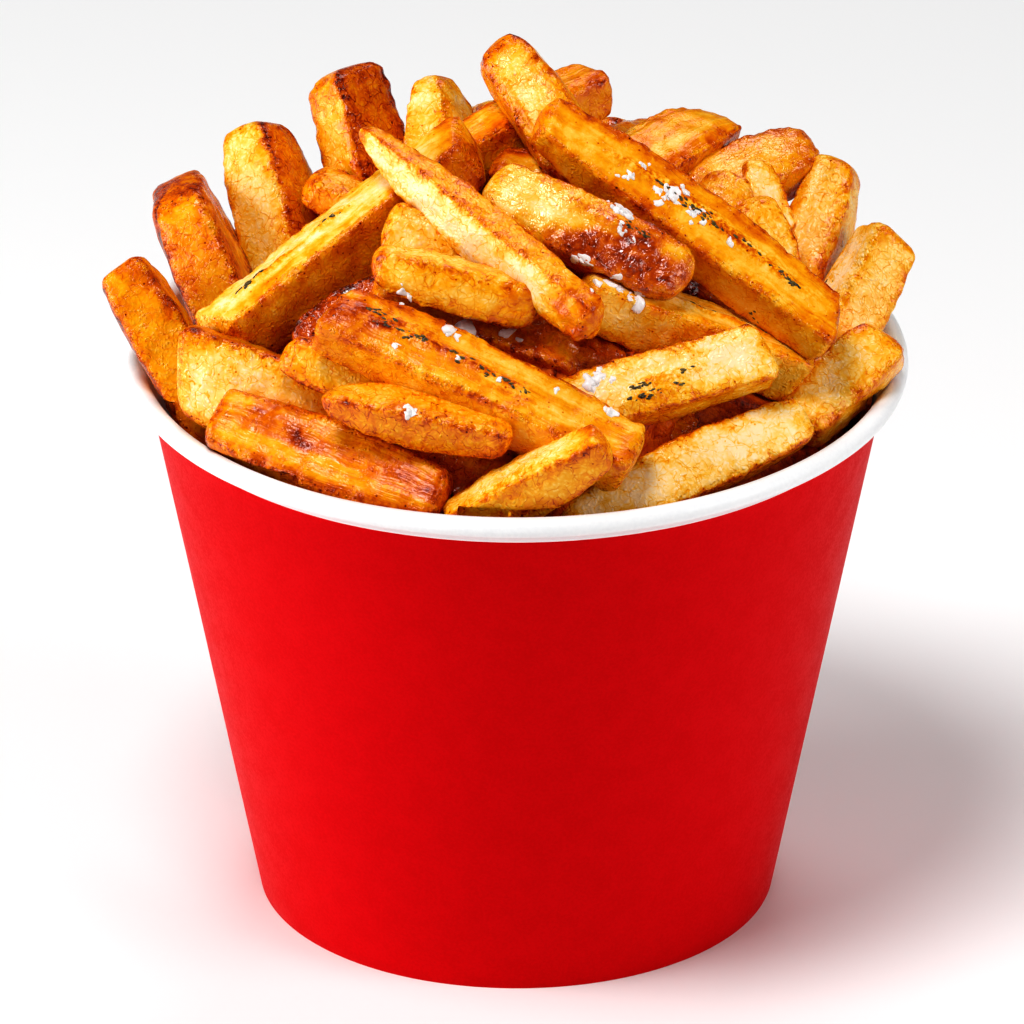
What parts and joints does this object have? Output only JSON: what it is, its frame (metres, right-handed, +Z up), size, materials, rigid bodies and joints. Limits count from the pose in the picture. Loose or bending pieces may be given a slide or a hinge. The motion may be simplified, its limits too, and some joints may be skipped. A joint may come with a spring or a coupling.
{
  "type": "tub of fried plantain strips",
  "caption": "Round tapered paper tub with a rolled rim, heaped above the rim with golden fried plantain strips and coarse salt.",
  "frame": {"origin": "centre of the tub's foot, on the surface that the tub stands on", "axes": "+Z up along the tub's axis, -Y towards the side that the picture shows, +X to the right in the picture"},
  "size_m": [0.1847, 0.18, 0.2058],
  "materials": {
    "white_board": "satin",
    "red_wrap": "satin",
    "fried_plantain": "satin"
  },
  "bodies": {
    "root": {"cup": "white_board", "outer_wrap": "red_wrap", "base_disc": "white_board", "plantain_heap": "fried_plantain"}
  },
  "joints": []
}
